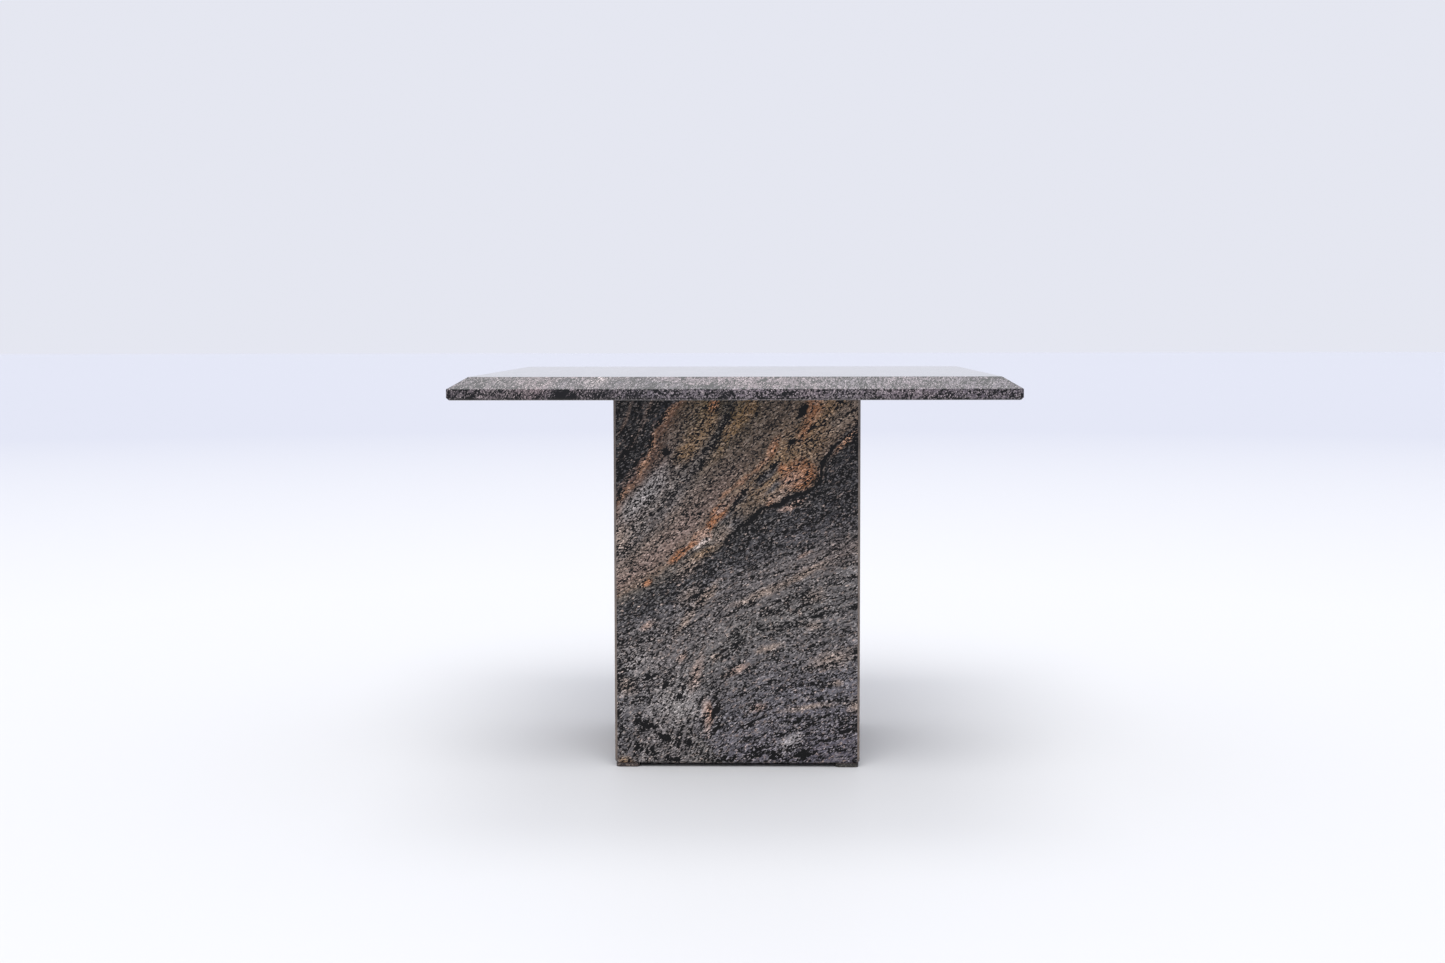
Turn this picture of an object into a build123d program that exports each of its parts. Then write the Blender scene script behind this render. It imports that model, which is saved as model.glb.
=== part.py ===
"""Side table of polished granite: a square bevelled top that rests on a hollow mitred column.

Millimetres. The origin is on the floor under the middle of the column, +Z is up, and the front of the
table faces -Y. The top lifts straight off the column; strips glued under it keep it in the middle.
"""
import os
from math import sqrt

from build123d import *

# ---- Driving dimensions ----------------------------------------------------------------------------
# Top slab
top_width = 500.0
top_thickness = 20.0
top_bevel_run = 17.0            # level width of the sloping band round the polished face
top_bevel_drop = 10.3           # height that the band falls
top_under_chamfer = 2.2         # chamfer round the underside
top_arris_radius = 0.5          # every sharp edge is eased by a hand pad

# Column
column_width = 230.0
column_height = 345.0
panel_thickness = 20.0
corner_arris = 2.2              # width ground off each upright corner
seam_gap = 0.8                  # resin between two mitred panels
bottom_arris = 1.6              # chamfer round the foot of the column
rim_arris = 0.8                 # chamfer round its top
corner_dub = 5.5                # how far the oblique cut at each bottom corner reaches along each edge

# Feet
foot_width = 22.0
foot_inset = 1.0                # from the column's outer faces
foot_thickness = 3.4
foot_corner_radius = 4.0
foot_edge_radius = 1.0
foot_bed_thickness = 0.6        # resin over each foot
foot_bed_margin = 0.6           # by which the foot pad stands out round its bed

# Stone offcuts inside the column's corners
block_width = 28.0
block_arris = 1.5
upper_block_height = 50.0
upper_block_drop = 15.0         # below the rim
lower_block_height = 60.0

# Locator strips glued under the top
locator_length = 80.0
locator_width = 18.0
locator_depth = 18.0
locator_clearance = 1.5         # to the inner face of the panel beside it
locator_lead_in = 3.0
locator_arris = 0.8

# Rubber discs between rim and top
bumper_diameter = 12.0
bumper_thickness = 1.0
bumper_edge_radius = 0.25

# ---- Derived places --------------------------------------------------------------------------------
column_bottom = foot_thickness + foot_bed_thickness
column_rim = column_bottom + column_height
top_underside = column_rim + bumper_thickness
half_column = column_width / 2
half_cavity = half_column - panel_thickness
arris_start = half_column - corner_arris
mitre_setback = seam_gap / sqrt(2)      # measured along a panel's face
foot_centre = half_column - foot_inset - foot_width / 2
block_centre = half_cavity - block_width / 2
bumper_centre = half_column - panel_thickness / 2
cutter_side = 40.0                      # of the blocks that dub the corners, larger than any cut

# Each side of the column, with its turn about Z from the front
sides = {"front": 0, "right": 90, "back": 180, "left": 270}
# Each corner, with the signs of its X and Y and its turn about Z from the front right corner
corners = {
    "front_right": (1, -1, 0),
    "back_right": (1, 1, 90),
    "back_left": (-1, 1, 180),
    "front_left": (-1, -1, 270),
}


def write_part(builder, name):
    """Label a finished piece and write it as parts/<name>.step."""
    builder.part.label = name
    export_step(builder.part, f"parts/{name}.step")


def turned_plane(height, turn):
    """A level plane at this height, turned about the table's upright axis."""
    return Plane.XY.offset(height).rotated((0, 0, turn))


# ---- Top -------------------------------------------------------------------------------------------
def make_tabletop():
    with BuildPart() as tabletop:
        with BuildSketch(Plane.XY.offset(top_underside)):
            Rectangle(top_width, top_width)
        extrude(amount=top_thickness)
        polished_face = tabletop.faces().sort_by(Axis.Z)[-1]
        chamfer(polished_face.edges(), length=top_bevel_run, length2=top_bevel_drop, reference=polished_face)
        chamfer(tabletop.faces().sort_by(Axis.Z)[0].edges(), length=top_under_chamfer)
        fillet(tabletop.edges(), radius=top_arris_radius)
    write_part(tabletop, "tabletop")


def make_locator(side, turn):
    """A granite strip under the top, just inside the panel of the same side."""
    outer_face = half_cavity - locator_clearance
    with BuildPart() as locator:
        with BuildSketch(turned_plane(top_underside, turn)):
            with Locations((0, -(outer_face - locator_width / 2))):
                Rectangle(locator_length, locator_width)
        extrude(amount=-locator_depth)
        under_edges = locator.faces().sort_by(Axis.Z)[0].edges()
        outward = Vector(0, -1, 0).rotate(Axis.Z, turn)
        outer_edge = under_edges.sort_by(lambda edge: edge.center().dot(outward))[-1]
        chamfer(outer_edge, length=locator_lead_in)
        chamfer(locator.edges().filter_by(Axis.Z), length=locator_arris)
    write_part(locator, f"locator_{side}")


# ---- Column ----------------------------------------------------------------------------------------
def make_column_block():
    """The column's outer form, ground and polished as one after gluing. Each piece is cut from it."""
    with BuildPart() as column_block:
        with BuildSketch(Plane.XY.offset(column_bottom)):
            Rectangle(column_width, column_width)
        extrude(amount=column_height)
        chamfer(column_block.edges().filter_by(Axis.Z), length=corner_arris)
        chamfer(column_block.faces().sort_by(Axis.Z)[0].edges(), length=bottom_arris)
        chamfer(column_block.faces().sort_by(Axis.Z)[-1].edges(), length=rim_arris)
        for x_sign, y_sign, _ in corners.values():
            cut_point = (x_sign * (half_column - corner_dub), y_sign * half_column, column_bottom)
            with BuildSketch(Plane(origin=cut_point, z_dir=(x_sign, y_sign, -1))):
                Rectangle(cutter_side, cutter_side)
            extrude(amount=cutter_side, mode=Mode.SUBTRACT)
    return column_block.part


def make_panel(side, turn, column_block):
    """One mitred panel. Its outer upright edges are broken, which leaves a groove for the resin."""
    mitre_top = (arris_start - mitre_setback, -arris_start)
    mitre_end = (half_cavity - mitre_setback, -half_cavity)
    with BuildPart() as panel:
        with BuildSketch(turned_plane(column_bottom, turn)):
            with BuildLine():
                Polyline(
                    (0, -half_column),
                    (arris_start, -half_column),
                    mitre_top,
                    mitre_end,
                    (0, -half_cavity),
                    close=True,
                )
            make_face()
            mirror(about=Plane.YZ)
        extrude(amount=column_height)
        add(column_block, mode=Mode.INTERSECT)
    write_part(panel, f"{side}_panel")


def make_seam(corner, turn, column_block):
    """Resin in one mitre: a thin sheet that widens into the ground-off corner."""
    with BuildPart() as seam:
        with BuildSketch(turned_plane(column_bottom, turn)):
            with BuildLine():
                Polyline(
                    (arris_start, -half_column),
                    (half_column, -arris_start),
                    (arris_start, -(arris_start - mitre_setback)),
                    (half_cavity, -(half_cavity - mitre_setback)),
                    (half_cavity - mitre_setback, -half_cavity),
                    (arris_start - mitre_setback, -arris_start),
                    close=True,
                )
            make_face()
        extrude(amount=column_height)
        add(column_block, mode=Mode.INTERSECT)
    write_part(seam, f"seam_{corner}")


def make_block(level, corner, turn, bottom, height):
    """A stone offcut in an inner corner, its glued corner broken to clear the resin."""
    with BuildPart() as block:
        with BuildSketch(turned_plane(bottom, turn)):
            with Locations((block_centre, -block_centre)):
                Rectangle(block_width, block_width)
            chamfer(vertices(), length=block_arris)
        extrude(amount=height)
    write_part(block, f"{level}_block_{corner}")


# ---- Feet and bumpers ------------------------------------------------------------------------------
def make_foot(corner, turn):
    with BuildPart() as foot:
        with BuildSketch(turned_plane(0, turn)):
            with Locations((foot_centre, -foot_centre)):
                RectangleRounded(foot_width, foot_width, foot_corner_radius)
        extrude(amount=foot_thickness)
        fillet(foot.faces().sort_by(Axis.Z)[0].edges(), radius=foot_edge_radius)
    write_part(foot, f"foot_{corner}")


def make_foot_bed(corner, turn):
    bed_width = foot_width - 2 * foot_bed_margin
    with BuildPart() as foot_bed:
        with BuildSketch(turned_plane(foot_thickness, turn)):
            with Locations((foot_centre, -foot_centre)):
                RectangleRounded(bed_width, bed_width, foot_corner_radius)
        extrude(amount=foot_bed_thickness)
    write_part(foot_bed, f"foot_bed_{corner}")


def make_bumper(corner, turn):
    with BuildPart() as bumper:
        with BuildSketch(turned_plane(column_rim, turn)):
            with Locations((bumper_centre, -bumper_centre)):
                Circle(bumper_diameter / 2)
        extrude(amount=bumper_thickness)
        fillet(bumper.edges().filter_by(GeomType.CIRCLE), radius=bumper_edge_radius)
    write_part(bumper, f"bumper_{corner}")


os.makedirs("parts", exist_ok=True)
make_tabletop()
column_form = make_column_block()
for side_name, side_turn in sides.items():
    make_panel(side_name, side_turn, column_form)
    make_locator(side_name, side_turn)
for corner_name, (_, _, corner_turn) in corners.items():
    make_seam(corner_name, corner_turn, column_form)
    make_block("upper", corner_name, corner_turn, column_rim - upper_block_drop - upper_block_height,
               upper_block_height)
    make_block("lower", corner_name, corner_turn, column_bottom, lower_block_height)
    make_foot(corner_name, corner_turn)
    make_foot_bed(corner_name, corner_turn)
    make_bumper(corner_name, corner_turn)
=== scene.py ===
import bpy
import math
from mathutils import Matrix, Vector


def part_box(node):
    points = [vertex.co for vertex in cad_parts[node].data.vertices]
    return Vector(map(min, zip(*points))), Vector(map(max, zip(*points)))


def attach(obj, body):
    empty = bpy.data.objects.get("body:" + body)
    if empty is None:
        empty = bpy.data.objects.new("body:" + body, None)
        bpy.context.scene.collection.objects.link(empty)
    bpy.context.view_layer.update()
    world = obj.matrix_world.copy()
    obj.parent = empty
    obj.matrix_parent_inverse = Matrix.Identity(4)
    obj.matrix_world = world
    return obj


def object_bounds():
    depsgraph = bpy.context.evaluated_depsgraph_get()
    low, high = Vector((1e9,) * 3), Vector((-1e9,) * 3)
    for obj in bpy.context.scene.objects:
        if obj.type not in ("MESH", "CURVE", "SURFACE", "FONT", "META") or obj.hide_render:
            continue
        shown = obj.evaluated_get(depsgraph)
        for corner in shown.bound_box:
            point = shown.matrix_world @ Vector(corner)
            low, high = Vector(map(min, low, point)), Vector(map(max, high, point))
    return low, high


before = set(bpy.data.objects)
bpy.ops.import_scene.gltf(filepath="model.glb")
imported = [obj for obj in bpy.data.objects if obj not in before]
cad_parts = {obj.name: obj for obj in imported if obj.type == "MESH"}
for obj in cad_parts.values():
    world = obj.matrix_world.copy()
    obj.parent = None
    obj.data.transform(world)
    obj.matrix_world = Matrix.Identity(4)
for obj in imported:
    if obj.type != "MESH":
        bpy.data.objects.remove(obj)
cad_low, cad_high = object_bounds()

# ---- Camera ----------------------------------------------------------------------------------------
# It stands in front of the table, a little above the top and a little to the right of its middle.
camera_place = (0.0354, -2.081, 0.4144)
camera_pitch_down = 4.21        # this and the next two in degrees
camera_turn_left = 1.414
camera_roll = 0.102
camera_lens = 52.74             # millimetres
sensor_width = 36


def make_camera():
    """The camera at its place, with its lens."""
    bpy.ops.object.camera_add(
        location=camera_place,
        rotation=(
            math.radians(90 - camera_pitch_down),
            math.radians(camera_roll),
            math.radians(camera_turn_left),
        ),
    )
    camera = bpy.context.object
    camera.data.lens = camera_lens
    camera.data.sensor_width = sensor_width
    bpy.context.scene.camera = camera
    bpy.context.scene.view_settings.view_transform = "Standard"


# ---- Nodes -----------------------------------------------------------------------------------------
def linear(hex_colour):
    """An sRGB hex colour as linear RGBA."""
    channels = [int(hex_colour[i:i + 2], 16) / 255 for i in (1, 3, 5)]
    return [c / 12.92 if c <= 0.04045 else ((c + 0.055) / 1.055) ** 2.4 for c in channels] + [1.0]


def add(tree, kind, *values, sockets=None, output=0, stops=(), points=(), **settings):
    """Add a node and return one of its outputs. Values fill its inputs in order and sockets fill them by
    key: an output of another node is linked, and anything else is set. Stops are a colour ramp's
    (position, hex colour) and points a curve's (x, y)."""
    node = tree.nodes.new("ShaderNode" + kind)
    for name, setting in settings.items():
        setattr(node, name, setting)
    for key, value in [*enumerate(values), *(sockets or {}).items()]:
        if isinstance(value, bpy.types.NodeSocket):
            tree.links.new(value, node.inputs[key])
        elif value is not None:
            node.inputs[key].default_value = value
    for number, (position, colour) in enumerate(stops):
        elements = node.color_ramp.elements
        element = elements[number] if number < 2 else elements.new(position)
        element.position = position
        element.color = linear(colour)
    for number, (x, y) in enumerate(points):
        curve = node.mapping.curves[0].points
        point = curve[number] if number < 2 else curve.new(x, y)
        point.location = (x, y)
    if points:
        node.mapping.update()
    return node.outputs[output]


def start_material(name):
    """A new material with its node tree and its shader."""
    material = bpy.data.materials.new(name)
    material.use_nodes = True
    tree = material.node_tree
    return material, tree, tree.nodes["Principled BSDF"]


# ---- Gneiss ----------------------------------------------------------------------------------------
# The stone's layers run from the upper right to the lower left of a panel and open out like a fan. Each
# line below is one boundary between layers: points in millimetres across and down a panel's face, from
# its upper left corner.
layer_lines = [
    [(60, -60), (-60, 60)],
    [(75, -15), (61, 5), (52, 18), (39, 36), (36, 49), (26, 68), (9, 92), (-2, 101), (-25, 120)],
    [(84, -15), (67, 6), (50, 34), (43, 52), (31, 75), (17, 91), (2, 113), (-20, 135)],
    [(120, -10), (107, 11), (101, 28), (91, 44), (80, 65), (68, 76), (45, 100), (20, 130), (-5, 150)],
    [(138, -5), (128, 18), (116, 31), (101, 57), (85, 75), (60, 100), (30, 132), (0, 160), (-20, 178)],
    [(200, -10), (190, 8), (178, 24), (162, 38), (148, 54), (139, 70), (128, 78), (115, 88), (99, 107),
     (91, 117), (83, 133), (72, 139), (57, 151), (30, 172), (6, 184), (-15, 196)],
    [(240, 18), (228, 27), (214, 39), (204, 47), (194, 63), (190, 81), (181, 89), (164, 94), (154, 102),
     (139, 107), (130, 115), (112, 126), (98, 143), (78, 152), (60, 166), (40, 180), (20, 190), (0, 197)],
    [(238, 112), (205, 125), (180, 136), (140, 150), (100, 170), (75, 185), (50, 200), (25, 208), (0, 214)],
    [(240, 140), (198, 159), (165, 170), (133, 184), (114, 195), (95, 210), (75, 230), (55, 255),
     (30, 290), (10, 320)],
    [(240, 206), (173, 223), (125, 239), (101, 254), (85, 275), (70, 305), (60, 345)],
    [(240, 266), (228, 270), (182, 283), (149, 292), (125, 302), (105, 318), (90, 345), (80, 370)],
    [(250, 330), (228, 338), (200, 345), (170, 356)],
]
layer_count = len(layer_lines) - 1
curve_start = -200.0            # millimetres along the layers where their lines begin
curve_span = 480.0              # and the length that they cover
panel_half_width = 115.0        # this and the next three in millimetres
panel_thickness = 20.0
tabletop_half_width = 250.0
panel_top = cad_high.z * 1000 - 21.0        # under the tabletop and the rubber discs
inner_half_width = 0.095        # metres, to the column's inner faces

# Sizes of the stone's patterns, in millimetres. Grains of mica and feldspar are 1 to 2 mm long, and the
# finer ones among them are drawn as coarse so that they show.
grain_size = 0.95
grain_stretch = (1.8, 1.0, 0.9)
clump_size = 3.2                # a few grains together
wanderings = ((38.0, 9.0), (8.0, 4.0))      # the figure's small wanderings: their sizes and reaches
lamina_length = 24.0
laminae_to_a_layer = 7.0
lamina_depth = 6.0
streak_depth = 3.0
saw_mark_length = 60.0
saw_mark_spacing = 2.0

# Colours across the layers, from the upper left to the lower right: one row for their upper right half
# and one for their lower left half. Positions count layers.
upper_colours = [
    (0.0, "#2b2522"), (0.25, "#342c28"), (0.42, "#1e1d20"), (0.6, "#332b27"), (0.75, "#1b1b1f"),
    (0.97, "#1f2024"), (1.05, "#7a573f"), (1.5, "#5e4534"), (1.75, "#58432f"), (2.15, "#4a3d2d"),
    (2.5, "#5b4a30"), (2.85, "#40372a"), (3.0, "#2a2825"), (3.2, "#43392b"), (3.75, "#6c5534"),
    (4.1, "#4a3f33"), (4.5, "#55493f"), (4.85, "#5d4e41"), (5.2, "#7a624a"), (5.7, "#6f5a46"),
    (5.93, "#504339"), (6.05, "#232224"), (6.5, "#2d2c2f"), (6.9, "#353336"), (7.3, "#4c4848"),
    (7.85, "#554c49"), (8.2, "#504d4d"), (9.0, "#4d4b4d"), (9.6, "#555153"), (10.0, "#4a484d"),
    (11.0, "#3e3b42"),
]
lower_colours = [
    (0.0, "#242425"), (0.9, "#222224"), (1.1, "#5b4338"), (1.9, "#5a473d"), (2.3, "#5c5350"),
    (2.8, "#645d59"), (3.2, "#4b4645"), (3.7, "#625b58"), (4.2, "#64574f"), (4.6, "#6e5d56"),
    (5.0, "#5e4f44"), (5.3, "#4e4741"), (5.8, "#3f3c3a"), (6.1, "#2c2b2c"), (6.6, "#333234"),
    (7.0, "#403e40"), (7.4, "#4f4b4b"), (8.0, "#4f4b4b"), (8.6, "#4e4b4a"), (9.2, "#494647"),
    (9.8, "#49474b"), (11.0, "#3e3b42"),
]
# How much of each layer is black mica, from 0 to 1
mica_share = [
    (0.0, 0.54), (0.6, 0.57), (0.9, 0.62), (1.1, 0.24), (2.0, 0.29), (2.3, 0.43), (2.8, 0.42),
    (3.0, 0.56), (3.3, 0.43), (3.8, 0.34), (4.2, 0.36), (4.8, 0.31), (5.3, 0.33), (5.85, 0.40),
    (6.1, 0.56), (6.6, 0.53), (7.0, 0.44), (7.4, 0.36), (8.0, 0.35), (9.0, 0.37), (10.0, 0.37),
    (11.0, 0.42),
]
# How strongly fine streaks of mica mark each layer
streak_strength = [(0.0, 0.28), (0.9, 0.28), (1.2, 0.2), (6.0, 0.22), (7.2, 0.29), (11.0, 0.31)]

# The tabletop's stone is mauve grey all over, with darker and paler layers
top_colours = [
    (0.0, "#453f42"), (0.8, "#544b4f"), (1.6, "#3b3639"), (2.4, "#524a4c"), (3.2, "#5c5153"),
    (4.0, "#403b3f"), (4.6, "#544c4f"), (5.4, "#474145"), (6.0, "#393539"), (6.8, "#4d464a"),
    (7.6, "#594f52"), (8.4, "#454044"), (9.2, "#534b4f"), (10.0, "#474146"), (11.0, "#3f3a40"),
]
top_mica = [(0.0, 0.44), (1.6, 0.54), (3.2, 0.38), (4.0, 0.52), (5.0, 0.40), (6.0, 0.56), (7.6, 0.38),
            (8.4, 0.48), (9.2, 0.40), (11.0, 0.50)]
top_streak_strength = [(0.0, 0.42), (11.0, 0.42)]

# Patches that lie in the layers. Each is given by the places across and down to its middle, its half
# length and half width, all in millimetres, its rise to the right in degrees, and its strength.
top_patches = {
    "#857b79": [(132, 488, 14, 9, 30, 0.5)],
    "#6f5f5c": [(330, 120, 120, 7, 40, 0.6), (120, 330, 90, 5, 47, 0.5), (400, 380, 90, 6, 35, 0.5),
                (190, 90, 60, 5, 52, 0.4), (260, 300, 50, 8, 42, 0.4)],
}
# Black mica on the tabletop's front edge
top_edge_mica = [(100, 500, 14, 13, 0, 1.6), (112, 500, 7, 14, 0, 0.9), (133, 500, 14, 14, 0, 0.7),
                 (60, 500, 12, 12, 0, 0.5), (78, 500, 8, 10, 0, 0.5), (20, 500, 8, 12, 0, 0.5),
                 (160, 500, 9, 10, 0, 0.4), (300, 500, 14, 10, 0, 0.3), (430, 500, 30, 10, 0, 0.3)]

# The front panel's patches: orange, brown, pinkish and pale feldspar, and dark grey
front_patches = {
    "#8c5c3c": [
        (186, 12, 25, 10, 66, 0.65), (177, 34, 15, 7, 62, 0.5), (93, 8, 9, 6.5, 60, 1.0),
        (149, 48, 16, 5, 64, 0.8), (156, 66, 6, 5, 45, 1.0), (99, 108, 11, 8, 42, 1.2),
        (91, 119, 11, 5, 50, 1.0), (75, 137, 12, 5, 35, 0.8), (60, 149, 16, 5, 38, 1.0),
        (172, 73, 21, 17, 20, 1.4), (31, 174, 7, 4, 45, 1.0), (149, 97, 12, 5, 50, 0.5),
        (89, 299, 15, 4, 92, 0.5),
    ],
    "#45464a": [
        (143, 74, 22, 5, 44, 1.0), (150, 84, 16, 4, 40, 0.8), (118, 96, 14, 5, 45, 0.7),
        (105, 113, 12, 5, 40, 0.6), (112, 119, 16, 6, 38, 0.5),
    ],
    "#8f6c55": [
        (147, 47, 12, 3.2, 66, 0.9), (137, 64, 13, 3.2, 50, 1.2), (120, 80, 14, 3.2, 38, 1.2),
        (104, 91, 11, 2.8, 35, 0.8), (216, 43, 18, 3.2, 46, 1.1), (171, 69, 13, 12, 20, 0.5),
        (80, 129, 11, 6, 38, 1.0), (160, 86, 12, 5, 40, 0.8), (50, 17, 20, 4, 50, 0.9),
        (37, 43, 16, 4, 70, 1.0), (28, 65, 16, 4, 66, 0.9), (12, 89, 18, 4, 48, 0.8),
    ],
    "#62574c": [(214, 19, 30, 13, 42, 0.8)],
    "#8f7669": [
        (82, 130, 11, 8, 35, 1.0), (101, 104, 8, 3, 45, 1.3), (85, 134, 10, 3, 45, 2.0),
        (167, 102, 18, 4, 27, 0.8), (30, 215, 9, 4, 35, 0.5), (64, 245, 8, 5, 40, 0.5),
        (115, 257, 18, 5, 22, 0.5), (135, 291, 12, 5, 20, 0.5), (177, 148, 9, 3, 30, 0.5),
        (165, 78, 15, 10, 30, 0.5), (110, 98, 25, 5, 38, 0.5), (76, 262, 26, 7, 75, 0.4),
        (86, 302, 24, 6, 95, 0.5),
    ],
    "#7c6c61": [
        (180, 164, 32, 5, 25, 0.7), (139, 184, 42, 5, 24, 0.6), (88, 184, 21, 6.5, 48, 0.7),
        (66, 210, 25, 6, 57, 0.6), (146, 236, 18, 5, 22, 0.5), (181, 292, 38, 4, 8, 0.5),
        (186, 215, 11, 6.5, 20, 0.4), (226, 290, 11, 10, 20, 0.6), (209, 268, 8, 5, 20, 0.5),
        (94, 244, 8, 4.5, 20, 0.6), (214, 20, 35, 14, 42, 0.4), (8, 131, 11, 22, 10, 0.6),
        (155, 93, 16, 9, 40, 0.7), (12, 272, 15, 12, 0, 0.45), (70, 160, 22, 10, 38, 0.6),
        (100, 131, 16, 9, 45, 0.6), (70, 186, 20, 10, 30, 0.4), (187, 186, 16, 9, 24, 0.4),
        (204, 246, 34, 11, 20, 0.45),
    ],
    "#785f44": [
        (126, 12, 18, 8, 60, 1.0), (111, 30, 15, 6.5, 50, 1.0), (78, 38, 28, 13, 45, 0.6),
        (66, 54, 18, 10, 40, 0.7), (90, 20, 12, 10, 60, 0.5), (84, 147, 22, 6.5, 25, 0.5),
        (10, 344, 11, 8, 0, 0.7),
    ],
    "#5c4b41": [
        (9, 24, 30, 3, 64, 0.5), (20, 40, 30, 3.5, 62, 0.4), (33, 12, 20, 3, 60, 0.4),
        (14, 74, 18, 3, 58, 0.4), (4, 60, 16, 3, 62, 0.4),
    ],
    "#b5a8a0": [(84, 135, 7, 3, 40, 1.8), (78, 141, 5, 2.2, 30, 1.2), (178, 101, 9, 2, 25, 0.4)],
    "#85807e": [
        (34, 86, 28, 12, 50, 0.8), (14, 104, 20, 12, 55, 0.6), (50, 290, 58, 40, 0, 0.22),
        (165, 325, 18, 12, 40, 0.4), (60, 290, 22, 18, 0, 0.3), (20, 250, 22, 21, 30, 0.3),
    ],
}
# Its clots and streaks of black mica, and one place with a little less of it
front_mica = [
    (176, 13, 10, 4.5, 50, 2.0), (166, 42, 8, 4, 70, 0.9), (184, 29, 8, 3.5, 30, 1.0),
    (49, 52, 5, 5, 30, 1.5), (210, 6, 8, 4, 60, 0.8), (106, 24, 16, 4, 56, 0.6),
    (96, 44, 14, 5, 50, 0.6), (84, 62, 12, 5, 50, 0.5), (196, 24, 12, 3, 38, 0.6),
    (149, 64, 11, 3, 50, 1.0), (137, 76, 12, 3.5, 43, 0.9), (122, 89, 12, 3.5, 42, 0.9),
    (113, 102, 10, 2.6, 58, 0.9), (104, 118, 6, 4, 50, 0.4), (15, 142, 13, 6, 50, 0.5),
    (78, 186, 12, 4, 38, 0.6), (137, 205, 15, 4, 25, 0.5), (113, 234, 24, 5, 33, 0.7),
    (173, 212, 13, 6, 25, 0.5), (35, 262, 13, 5, 10, 0.65), (49, 270, 6, 5, 0, 0.9),
    (59, 283, 7, 5, 0, 1.0), (24, 286, 11, 5, 30, 0.6), (23, 304, 8, 6, 0, 0.9),
    (33, 308, 10, 4, 0, 0.7), (47, 321, 15, 6, -25, 0.9), (68, 326, 6, 5, 0, 0.9),
    (28, 331, 16, 6, -20, 0.7), (57, 342, 11, 4, 0, 0.9), (95, 285, 30, 6, 95, 0.6),
    (100, 340, 20, 5, 0, 0.8), (149, 338, 8, 5, 0, 0.8), (175, 337, 9, 6, 20, 0.7),
    (218, 314, 24, 14, 30, 0.42), (12, 228, 10, 3, 0, 0.5), (85, 318, 32, 14, 0, 0.22),
    (115, 336, 120, 9, 0, 0.18), (45, 272, 12, 8, 0, 0.35), (110, 304, 75, 15, 10, 0.18),
    (72, 245, 16, 10, 0, 0.15), (172, 300, 40, 12, 10, 0.1), (188, 44, 15, 10, 40, 0.24),
    (205, 244, 22, 10, 20, -0.08),
]
black_line = 6                  # the layer line that thick mica follows on the front panel


all_depths = 1e4                # millimetres, so far that a patch goes through the whole stone


def in_layer_frame(across, down):
    """A point of a panel's face as distances along and across the layers' general direction."""
    return (down - across) / math.sqrt(2), (across + down) / math.sqrt(2)


def patch_cover(tree, place, corner, depth, patches, start=0.0):
    """How much the patches cover a place, soft towards their rims. The corner is the face's upper left
    one, and depth is the patches' middle and half thickness, measured into the face."""
    cover = start
    for across, down, half_length, half_width, rise, strength in patches:
        inside = add(
            tree, "Mapping", place, (corner[0] + across, depth[0], corner[1] - down),
            (0, math.radians(-rise), 0), (half_length, depth[1], half_width), vector_type="TEXTURE",
        )
        ball = add(tree, "TexGradient", inside, output="Fac", gradient_type="SPHERICAL")
        cover = add(tree, "Math", ball, strength, cover, operation="MULTIPLY_ADD")
    return cover


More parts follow.
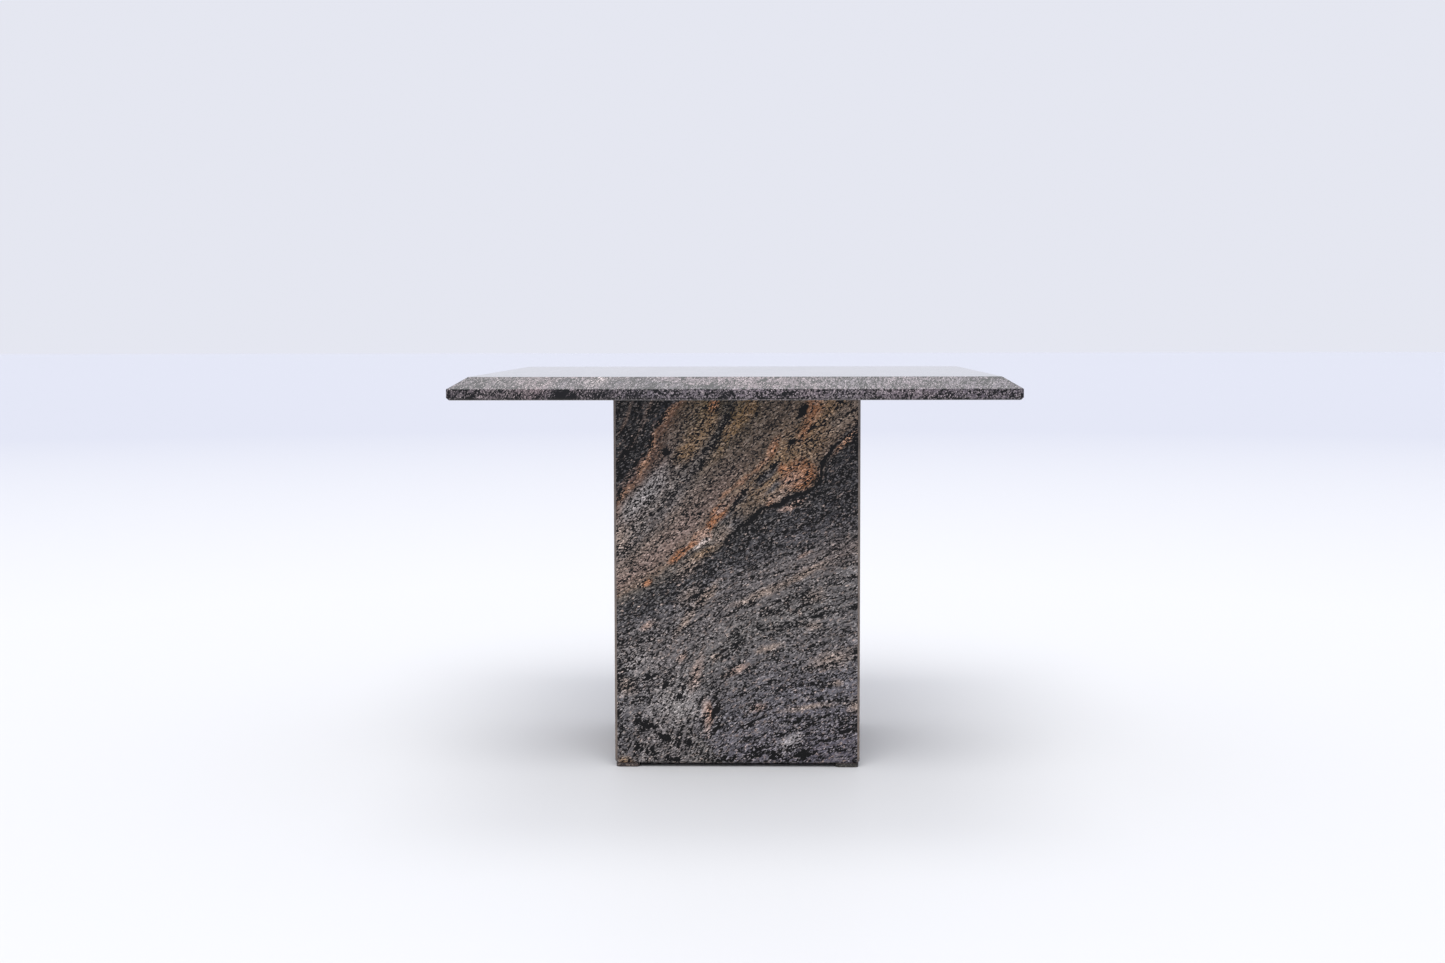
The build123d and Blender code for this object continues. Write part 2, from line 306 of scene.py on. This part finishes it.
def polished_gneiss(name, face_turn, sawn_from, corner, figure_turn=0, figure_shift=(0, 0, 0),
                    figure_scale=(1, 1, 1), colour_rows=(upper_colours, lower_colours),
                    mica_row=mica_share, streak_row=streak_strength, colour_patches=None,
                    mica_patches=(), mica_depth=(0, all_depths), line_strength=0.0,
                    streak_length=17.0, streaks_to_a_layer=20.0, grain_rise=35, specular=0.16,
                    gloss=(0.05, 0.16)):
    """Polished gneiss: layers of grey, brown and orange feldspar and quartz, peppered with black mica in
    grains of 1 to 2 mm. It gives the eye a banded, speckled stone with a mirror gloss, a little duller on
    the mica. Behind the depth sawn_from it is as sawn, so it's matt and paler there. The figure is the
    front panel's, turned, shifted and scaled, as in the next piece of the same slab."""
    material, tree, shader = start_material(name)
    place = add(tree, "TexCoord", output="Object")

    # Millimetres in the face's own frame, X across it, Y into it and Z up, and then in the figure's
    face = add(tree, "Mapping", place, (0, 0, 0), [math.radians(a) for a in face_turn], (1000, 1000, 1000))
    depth = add(tree, "SeparateXYZ", face, output="Y")

    # The figure's small wanderings
    bent = face
    for size, reach in wanderings:
        bend = add(tree, "TexNoise", sockets={"Vector": bent, "Scale": 1 / size}, output="Color")
        bend = add(tree, "VectorMath", bend, (0.5, 0.5, 0.5), operation="SUBTRACT")
        bent = add(tree, "VectorMath", bend, (reach, reach, reach), bent, operation="MULTIPLY_ADD")
    figure = add(tree, "Mapping", bent, figure_shift, (0, math.radians(figure_turn), 0), figure_scale)

    # Distances along and across the layers, and the layer itself, counted from the upper left
    slope = math.sqrt(0.5)
    middle_along, middle_across = in_layer_frame(panel_half_width, panel_top)
    along = add(tree, "VectorMath", figure, (-slope, 0, -slope), operation="DOT_PRODUCT", output="Value")
    along = add(tree, "Math", along, middle_along, operation="ADD")
    across = add(tree, "VectorMath", figure, (slope, 0.6, -slope), operation="DOT_PRODUCT", output="Value")
    across = add(tree, "Math", across, middle_across + 0.6 * panel_half_width, operation="ADD")
    curve_place = add(tree, "MapRange", along, curve_start, curve_start + curve_span, 0.0, 1.0)
    lines = []
    for line in layer_lines:
        points = []
        for point in line:
            point_along, point_across = in_layer_frame(*point)
            points.append(((point_along - curve_start) / curve_span, point_across / curve_span))
        height = add(tree, "FloatCurve", 1.0, curve_place, points=points)
        lines.append(add(tree, "Math", height, curve_span, operation="MULTIPLY"))
    layer = 0.0
    for low, high in zip(lines, lines[1:]):
        crossed = add(tree, "MapRange", across, low, high, 0.0, 1.0)
        layer = add(tree, "Math", layer, crossed, operation="ADD")

    # Laminae: long along the layers, thin across them
    lamina_place = add(
        tree, "CombineXYZ", add(tree, "Math", along, lamina_length, operation="DIVIDE"),
        add(tree, "Math", layer, laminae_to_a_layer, operation="MULTIPLY"),
        add(tree, "Math", depth, lamina_depth, operation="DIVIDE"),
    )
    lamina = add(tree, "TexNoise", output="Fac", sockets={
        "Vector": lamina_place, "Scale": 1.0, "Detail": 5.0, "Roughness": 0.66})
    lamina = add(tree, "MapRange", lamina, 0.3, 0.7, -1.0, 1.0)
    swayed = add(tree, "Math", lamina, 0.12, layer, operation="MULTIPLY_ADD")
    ramp_place = add(tree, "Math", swayed, layer_count, operation="DIVIDE")
    upper = add(tree, "ValToRGB", ramp_place, stops=[(p / layer_count, c) for p, c in colour_rows[0]])
    lower = add(tree, "ValToRGB", ramp_place, stops=[(p / layer_count, c) for p, c in colour_rows[1]])
    half = add(tree, "MapRange", along, -75.0, 35.0, 0.0, 1.0, interpolation_type="SMOOTHSTEP")
    body = add(tree, "Mix", half, sockets={6: upper, 7: lower}, output=2, data_type="RGBA")

    # Grains lie along the layers, and clumps of a few grains break up every soft rim
    grain_place = add(
        tree, "Mapping", face, (0, 0, 0), (0, math.radians(-grain_rise), 0), grain_stretch,
        vector_type="TEXTURE",
    )
    clump = add(tree, "TexNoise", output="Fac", sockets={
        "Vector": grain_place, "Scale": 1 / clump_size, "Detail": 3.0, "Roughness": 0.7})
    clump = add(tree, "MapRange", clump, 0.3, 0.7, -1.0, 1.0)

    for colour, patches in (colour_patches or {}).items():
        cover = patch_cover(tree, bent, corner, (0, all_depths), patches)
        cover = add(tree, "Math", clump, 0.08, cover, operation="MULTIPLY_ADD")
        cover = add(tree, "MapRange", cover, 0.02, 0.6, 0.0, 0.85)
        body = add(tree, "Mix", cover, sockets={6: body, 7: linear(colour)}, output=2, data_type="RGBA")

    # Mica's share follows the layer, the laminae and the clumps. Between the mica the stone is brighter
    # than the two together.
    layer_place = add(tree, "Math", layer, layer_count, operation="DIVIDE")
    share = add(tree, "FloatCurve", 1.0, layer_place, points=[(p / layer_count, s) for p, s in mica_row])
    gain = add(tree, "MapRange", share, 0.0, 0.8, 0.75, 2.1)
    streak_place = add(
        tree, "CombineXYZ", add(tree, "Math", along, streak_length, operation="DIVIDE"),
        add(tree, "Math", layer, streaks_to_a_layer, operation="MULTIPLY"),
        add(tree, "Math", depth, streak_depth, operation="DIVIDE"),
    )
    streak = add(tree, "TexNoise", output="Fac", sockets={
        "Vector": streak_place, "Scale": 1.0, "Detail": 2.0, "Roughness": 0.5})
    streak = add(tree, "MapRange", streak, 0.3, 0.7, -1.0, 1.0)
    pull = add(tree, "FloatCurve", 1.0, layer_place, points=[(p / layer_count, s) for p, s in streak_row])
    fine = add(tree, "Math", streak, 1.5, lamina, operation="MULTIPLY_ADD")
    fine = add(tree, "Math", fine, pull, operation="MULTIPLY")
    share = add(tree, "Math", share, fine, operation="SUBTRACT")
    clotted = add(tree, "MapRange", along, -75.0, 35.0, 0.09, 0.13)
    share = add(tree, "Math", clump, clotted, share, operation="MULTIPLY_ADD")
    share = patch_cover(tree, bent, corner, mica_depth, mica_patches, share)

    # The black line, which fades out at both ends
    if line_strength:
        off_line = add(tree, "Math", across, lines[black_line], operation="SUBTRACT")
        off_line = add(tree, "Math", off_line, operation="ABSOLUTE")
        on_line = add(tree, "MapRange", off_line, 0.5, 2.6, line_strength, 0.0)
        start_fade = add(tree, "MapRange", along, -125.0, -95.0, 0.3, 1.0)
        end_fade = add(tree, "MapRange", along, -15.0, 30.0, 1.0, 0.0)
        on_line = add(tree, "Math", on_line, start_fade, operation="MULTIPLY")
        share = add(tree, "Math", on_line, end_fade, share, operation="MULTIPLY_ADD")

    # The grains: each has a share, which makes it mica or not, and a tone
    cells = add(tree, "TexVoronoi", output="Color", sockets={"Vector": grain_place, "Scale": 1 / grain_size})
    cell_share = add(tree, "SeparateColor", cells, output=0)
    cell_tone = add(tree, "SeparateColor", cells, output=1)
    tone = add(tree, "MapRange", cell_tone, 0.0, 1.0, 0.45, 1.5)
    tone = add(tree, "Math", tone, gain, operation="MULTIPLY")
    lamina_tone = add(tree, "MapRange", lamina, -1.0, 1.0, 0.74, 1.26)
    tone = add(tree, "Math", tone, lamina_tone, operation="MULTIPLY")
    body = add(tree, "VectorMath", body, sockets={3: tone}, operation="SCALE")
    above = add(tree, "Math", cell_share, share, operation="SUBTRACT")
    pale = add(tree, "MapRange", cell_share, 0.76, 0.92, 0.0, 0.9)
    pale_body = add(tree, "VectorMath", body, sockets={3: 2.1}, operation="SCALE")
    pale_body = add(
        tree, "Mix", 0.22, sockets={6: pale_body, 7: linear("#b9b0a8")}, output=2, data_type="RGBA")
    body = add(tree, "Mix", pale, sockets={6: body, 7: pale_body}, output=2, data_type="RGBA")
    mica = add(tree, "MapRange", above, -0.05, 0.03, 1.0, 0.0)
    body = add(tree, "Mix", mica, sockets={6: body, 7: linear("#09080a")}, output=2, data_type="RGBA")

    # The sawn back. The saw's fine marks are drawn about 2 mm apart so that they show.
    sawn = add(tree, "MapRange", depth, sawn_from - 0.3, sawn_from, 0.0, 1.0)
    body = add(tree, "Mix", add(tree, "Math", sawn, 0.5, operation="MULTIPLY"),
               sockets={6: body, 7: linear("#96928f")}, output=2, data_type="RGBA")
    tree.links.new(body, shader.inputs["Base Color"])
    rough = add(tree, "MapRange", mica, 0.0, 1.0, *gloss)
    rough = add(tree, "MapRange", sawn, 0.0, 1.0, rough, 0.68)
    tree.links.new(rough, shader.inputs["Roughness"])
    saw_place = add(
        tree, "Mapping", face, (0, 0, 0), (0, 0, 0), (1 / saw_mark_length, 1, 1 / saw_mark_spacing))
    saw = add(tree, "TexNoise", output="Fac", sockets={"Vector": saw_place, "Scale": 1.0, "Detail": 3.0})
    relief = add(tree, "Math", saw, sawn, operation="MULTIPLY")
    bump = add(tree, "Bump", output="Normal", sockets={"Strength": 0.5, "Distance": 0.0006, "Height": relief})
    tree.links.new(bump, shader.inputs["Normal"])
    shader.inputs["Specular IOR Level"].default_value = specular
    return material


def speckled_stone(name, colours, grain, rough, relief):
    """Offcuts of the same stone, sawn or honed and never polished: matt, greyer, and evenly speckled."""
    material, tree, shader = start_material(name)
    place = add(tree, "TexCoord", output="Object")
    place = add(tree, "Mapping", place, (0, 0, 0), (0, 0, 0), (1000, 1000, 1000))
    cloud = add(tree, "TexNoise", output="Fac", sockets={"Vector": place, "Scale": 1 / 14.0, "Detail": 4.0})
    cell = add(tree, "TexVoronoi", output="Color", sockets={"Vector": place, "Scale": 1 / grain})
    cell = add(tree, "SeparateColor", cell)
    mixed = add(tree, "MapRange", cloud, 0.3, 0.7, -0.25, 0.25)
    mixed = add(tree, "Math", mixed, cell, operation="ADD")
    body = add(tree, "ValToRGB", mixed, stops=colours)
    tree.links.new(body, shader.inputs["Base Color"])
    dullness = add(tree, "MapRange", cell, 0.0, 1.0, rough + 0.08, rough - 0.05)
    tree.links.new(dullness, shader.inputs["Roughness"])
    height = add(tree, "TexNoise", output="Fac", sockets={"Vector": place, "Scale": 1 / 1.6, "Detail": 3.0})
    bump = add(
        tree, "Bump", output="Normal", sockets={"Strength": relief, "Distance": 0.0005, "Height": height})
    tree.links.new(bump, shader.inputs["Normal"])
    shader.inputs["Specular IOR Level"].default_value = 0.35
    return material


def stone_resin(name, dark, light, rough):
    """Polyester stone glue, tinted brown and rubbed down with the stone: a smooth, faintly clouded line
    with a satin gloss."""
    material, tree, shader = start_material(name)
    place = add(tree, "TexCoord", output="Object")
    place = add(tree, "Mapping", place, (0, 0, 0), (0, 0, 0), (1000, 1000, 1000))
    cloud = add(tree, "TexNoise", output="Fac", sockets={"Vector": place, "Scale": 1 / 9.0, "Detail": 4.0})
    body = add(tree, "ValToRGB", cloud, stops=[(0.3, dark), (0.7, light)])
    tree.links.new(body, shader.inputs["Base Color"])
    gloss = add(tree, "MapRange", cloud, 0.3, 0.7, rough - 0.05, rough + 0.1)
    tree.links.new(gloss, shader.inputs["Roughness"])
    shader.inputs["IOR"].default_value = 1.54
    shader.inputs["Specular IOR Level"].default_value = 0.4
    return material


def bumper_rubber():
    """Moulded black rubber: matt, with a fine grain from the mould and a bloom of grey dust."""
    material, tree, shader = start_material("moulded_black_rubber")
    place = add(tree, "TexCoord", output="Object")
    place = add(tree, "Mapping", place, (0, 0, 0), (0, 0, 0), (1000, 1000, 1000))
    bloom = add(tree, "TexNoise", output="Fac", sockets={"Vector": place, "Scale": 1 / 3.0, "Detail": 3.0})
    body = add(tree, "ValToRGB", bloom, stops=[(0.35, "#191919"), (0.7, "#2e2d2c")])
    tree.links.new(body, shader.inputs["Base Color"])
    rough = add(tree, "MapRange", bloom, 0.3, 0.7, 0.65, 0.85)
    tree.links.new(rough, shader.inputs["Roughness"])
    grain = add(tree, "TexNoise", output="Fac", sockets={"Vector": place, "Scale": 1 / 0.5, "Detail": 2.0})
    bump = add(tree, "Bump", output="Normal", sockets={"Strength": 0.4, "Distance": 0.0002, "Height": grain})
    tree.links.new(bump, shader.inputs["Normal"])
    return material


# ---- Resin beads -----------------------------------------------------------------------------------
# Sizes in metres
bead_radius = 0.0052
rim_thickness = 0.0014
rim_width = 0.0014


def start_piece(name):
    """Give the new primitive its name and put its place into its mesh."""
    piece = bpy.context.object
    piece.name = name
    piece.data.name = name
    bpy.ops.object.transform_apply(location=True, rotation=True, scale=True)
    return piece


def finish_piece(piece, body, material):
    """Turn the faces of the piece in edit mode outwards, smooth it, and fix it to its body."""
    bpy.ops.mesh.select_all(action="SELECT")
    bpy.ops.mesh.remove_doubles(threshold=0.00001)
    bpy.ops.mesh.normals_make_consistent(inside=False)
    bpy.ops.object.mode_set(mode="OBJECT")
    bpy.ops.object.shade_smooth_by_angle(angle=math.radians(50))
    piece.data.materials.append(material)
    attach(piece, body)
    bpy.ops.object.select_all(action="DESELECT")


def select_edges_along(piece, axis):
    """Select only the edges of the piece in edit mode that run along an axis."""
    shortest = 0.0005
    bpy.ops.mesh.select_all(action="DESELECT")
    bpy.ops.object.mode_set(mode="OBJECT")
    for edge in piece.data.edges:
        start, end = (piece.data.vertices[v].co for v in edge.vertices)
        run = [abs(a - b) for a, b in zip(start, end)]
        edge.select = run[axis] > shortest and sum(run) - run[axis] < 0.00001
    bpy.ops.object.mode_set(mode="EDIT")


def corner_bead(name, side_x, side_y, material, seed):
    """The resin that was squeezed out of a mitre, a lumpy fillet up the column's inner corner."""
    corner_x = side_x * inner_half_width
    corner_y = side_y * inner_half_width
    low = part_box("lower_block_front_right")[1][2]
    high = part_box("upper_block_front_right")[0][2]
    bpy.ops.mesh.primitive_cylinder_add(
        vertices=20, radius=bead_radius, depth=high - low, location=(corner_x, corner_y, (low + high) / 2))
    bead = start_piece(name)
    bpy.ops.object.mode_set(mode="EDIT")
    bpy.ops.mesh.select_mode(type="EDGE")
    select_edges_along(bead, 2)
    bpy.ops.mesh.subdivide(number_cuts=40)
    bpy.ops.mesh.select_all(action="SELECT")
    bpy.ops.transform.vertex_random(offset=0.0011, uniform=0.0, normal=0.6, seed=seed)
    bpy.ops.mesh.vertices_smooth(factor=0.5, repeat=1)
    for plane_point, plane_normal in (
        ((corner_x, 0, 0), (side_x, 0, 0)),
        ((0, corner_y, 0), (0, side_y, 0)),
    ):
        bpy.ops.mesh.select_all(action="SELECT")
        bpy.ops.mesh.bisect(plane_co=plane_point, plane_no=plane_normal, use_fill=True, clear_outer=True)
    finish_piece(bead, "column", material)


def locator_bead(name, locator, material, seed):
    """The rim of resin around a locator, where it is stuck to the top."""
    low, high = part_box(locator)
    middle = [(a + b) / 2 for a, b in zip(low, high)]
    size = [b - a for a, b in zip(low, high)]
    bpy.ops.mesh.primitive_cube_add(
        size=1, location=(middle[0], middle[1], high[2] - rim_thickness / 2 - 0.0001),
        scale=(size[0] + 2 * rim_width, size[1] + 2 * rim_width, rim_thickness))
    bead = start_piece(name)
    long_axis = 0 if size[0] > size[1] else 1
    bpy.ops.object.mode_set(mode="EDIT")
    bpy.ops.mesh.select_mode(type="EDGE")
    select_edges_along(bead, 2)
    bpy.ops.mesh.bevel(offset=0.0013, segments=3)
    for axis, cuts in ((long_axis, 22), (1 - long_axis, 4)):
        select_edges_along(bead, axis)
        bpy.ops.mesh.subdivide(number_cuts=cuts)
    bpy.ops.mesh.select_all(action="SELECT")
    bpy.ops.transform.vertex_random(offset=0.0005, uniform=0.0, normal=0.2, seed=seed)
    bpy.ops.mesh.vertices_smooth(factor=0.4, repeat=1)
    finish_piece(bead, "top", material)


def dress(node, material):
    """Give a CAD node its finish."""
    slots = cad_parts[node].data.materials
    slots.clear()
    slots.append(material)


# ---- Studio ----------------------------------------------------------------------------------------
floor_size = 60
painted_falloff_span = 9                # metres over which the floor gets a little darker outwards, a painted falloff of light


def make_studio():
    """A pale floor with a painted falloff of light, darker and bluer outwards, an even sky and two broad
    lights.
    """
    bpy.ops.mesh.primitive_plane_add(size=floor_size)
    floor = bpy.context.object
    floor.name = "floor"
    material, tree, shader = start_material("floor_paint_with_painted_falloff")
    place = add(tree, "TexCoord", output="Object")
    place = add(tree, "Mapping", place, (0, 0, 0), (0, 0, 0), [1 / painted_falloff_span] * 3)
    # Painted pool of light: the floor is brighter near the middle and darker and bluer outwards, standing in
    # for light that falls off toward the horizon
    near = add(tree, "TexGradient", place, output="Fac", gradient_type="SPHERICAL")
    paint_with_painted_falloff = add(tree, "ValToRGB", near, stops=[(0.3, "#bcbec7"), (0.85, "#d3d3d3")])
    tree.links.new(paint_with_painted_falloff, shader.inputs["Base Color"])
    shader.inputs["Roughness"].default_value = 0.6
    floor.data.materials.append(material)

    world = bpy.data.worlds.new("studio")
    bpy.context.scene.world = world
    world.use_nodes = True
    background = world.node_tree.nodes["Background"]
    background.inputs["Color"].default_value = linear("#e8eaf4")
    background.inputs["Strength"].default_value = 0.97

    # A broad light above the front, and a smaller one above the back that the bevels mirror
    for name, strength, lean, spread in (("key", 2.3, 38, 46), ("rim", 0.52, -26, 26)):
        bpy.ops.object.light_add(type="SUN", rotation=(math.radians(lean), 0, 0))
        lamp = bpy.context.object
        lamp.name = name
        lamp.data.energy = strength
        lamp.data.angle = math.radians(spread)


bpy.ops.object.select_all(action="DESELECT")
make_camera()
panel_back = panel_thickness - panel_half_width - 0.4
panel_corner = (-panel_half_width, panel_top)
polished = {
    "front_panel": polished_gneiss(
        "polished_gneiss_front", (0, 0, 0), panel_back, panel_corner, colour_patches=front_patches,
        mica_patches=front_mica, line_strength=0.9, grain_rise=30,
    ),
    "right_panel": polished_gneiss(
        "polished_gneiss_right", (0, 0, -90), panel_back, panel_corner, figure_shift=(0, 0, -85),
        figure_scale=(-1, 1, 1), grain_rise=-35,
    ),
    "back_panel": polished_gneiss(
        "polished_gneiss_back", (0, 0, -180), panel_back, panel_corner, figure_turn=180,
        figure_shift=(0, 0, 365),
    ),
    "left_panel": polished_gneiss(
        "polished_gneiss_left", (0, 0, -270), panel_back, panel_corner, figure_turn=180,
        figure_shift=(20, 0, 290), figure_scale=(-1, 1, 1), grain_rise=-35,
    ),
    "tabletop": polished_gneiss(
        "polished_gneiss_top", (90, 0, 0), -350.4, (-tabletop_half_width, tabletop_half_width),
        figure_turn=40, figure_shift=(30, 0, 170), figure_scale=(0.6, 0.6, 0.6),
        colour_rows=(top_colours, top_colours), mica_row=top_mica, streak_row=top_streak_strength,
        colour_patches=top_patches, mica_patches=top_edge_mica, mica_depth=(-352, 9), streak_length=8.0,
        streaks_to_a_layer=44.0, grain_rise=75, specular=0.26, gloss=(0.03, 0.06),
    ),
}
sawn_colours = [(0.05, "#2b2a2c"), (0.3, "#6f6c6b"), (0.75, "#908c89"), (1.0, "#b3aeaa")]
brown_colours = [(0.1, "#171415"), (0.4, "#38302d"), (0.8, "#4e433e"), (1.0, "#7b6f66")]
dark_colours = [(0.1, "#111011"), (0.4, "#252321"), (0.8, "#37342f"), (1.0, "#5c574f")]
sawn = speckled_stone("sawn_gneiss", sawn_colours, 1.3, 0.75, 0.6)
foot_brown = speckled_stone("honed_brown_gneiss", brown_colours, 1.2, 0.4, 0.3)
foot_dark = speckled_stone("honed_dark_gneiss", dark_colours, 1.2, 0.4, 0.3)
mitre = stone_resin("brown_mitre_resin", "#584d46", "#76695f", 0.22)
# The resin bed under the feet is glue, tinted much darker than the mitre resin as painted shade for the dark
# crevice between the column and its feet
bed = stone_resin("bed_resin_with_painted_shade", "#2c2320", "#453630", 0.4)
squeezed = stone_resin("squeezed_out_resin", "#40352d", "#6b5c50", 0.14)
rubber = bumper_rubber()
# By the start of a node's name, the more exact ones first
finishes = {
    "seam": mitre, "foot_bed": bed, "foot_front_left": foot_brown, "foot_back_right": foot_brown,
    "foot": foot_dark, "upper_block": sawn, "lower_block": sawn, "locator": sawn, "bumper": rubber,
}
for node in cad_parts:
    kind = next((kind for kind in finishes if node.startswith(kind)), None)
    dress(node, polished.get(node) or finishes[kind])

seed = 1
for end, side_y in (("front", -1), ("back", 1)):
    for side, side_x in (("left", -1), ("right", 1)):
        corner_bead(f"corner_bead_{end}_{side}", side_x, side_y, squeezed, seed)
        seed += 1
for side in ("front", "right", "back", "left"):
    locator_bead(f"locator_bead_{side}", f"locator_{side}", squeezed, seed)
    seed += 1
make_studio()
